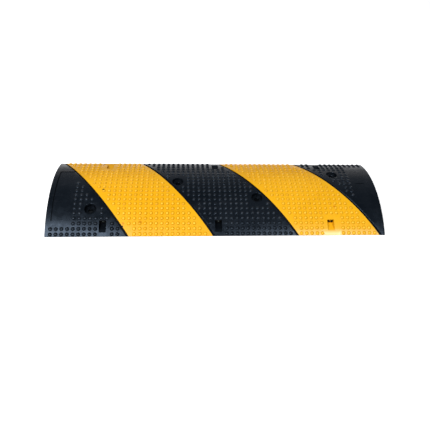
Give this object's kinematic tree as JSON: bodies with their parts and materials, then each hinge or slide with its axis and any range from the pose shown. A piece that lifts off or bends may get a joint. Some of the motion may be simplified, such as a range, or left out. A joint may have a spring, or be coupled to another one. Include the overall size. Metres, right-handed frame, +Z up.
{
  "type": "rubber speed bump",
  "caption": "Low arched black rubber speed bump module with slanted yellow bands, raised studs, counterbored bolt holes and cat-eye reflectors in niches.",
  "frame": {"origin": "centre of the underside, on the road surface", "axes": "+X along the bump, which lies across the road; +Z up; -Y the slope that faces the camera in the picture"},
  "size_m": [1, 0.3, 0.042],
  "materials": {
    "black_rubber": "moulded black rubber, satin",
    "yellow_rubber": "moulded amber yellow rubber, satin",
    "socket_plastic": "black moulded plastic, satin",
    "lens_glass": "clear pressed glass bead"
  },
  "bodies": {
    "root": {"rubber_body": "black_rubber", "yellow_band_left": "yellow_rubber", "yellow_band_right": "yellow_rubber", "reflector_socket_front_left": "socket_plastic", "reflector_lens_front_left": "lens_glass", "reflector_socket_front_centre": "socket_plastic", "reflector_lens_front_centre": "lens_glass", "reflector_socket_front_right": "socket_plastic", "reflector_lens_front_right": "lens_glass", "reflector_socket_rear_left": "socket_plastic", "reflector_lens_rear_left": "lens_glass", "reflector_socket_rear_centre": "socket_plastic", "reflector_lens_rear_centre": "lens_glass", "reflector_socket_rear_right": "socket_plastic", "reflector_lens_rear_right": "lens_glass"}
  },
  "joints": []
}
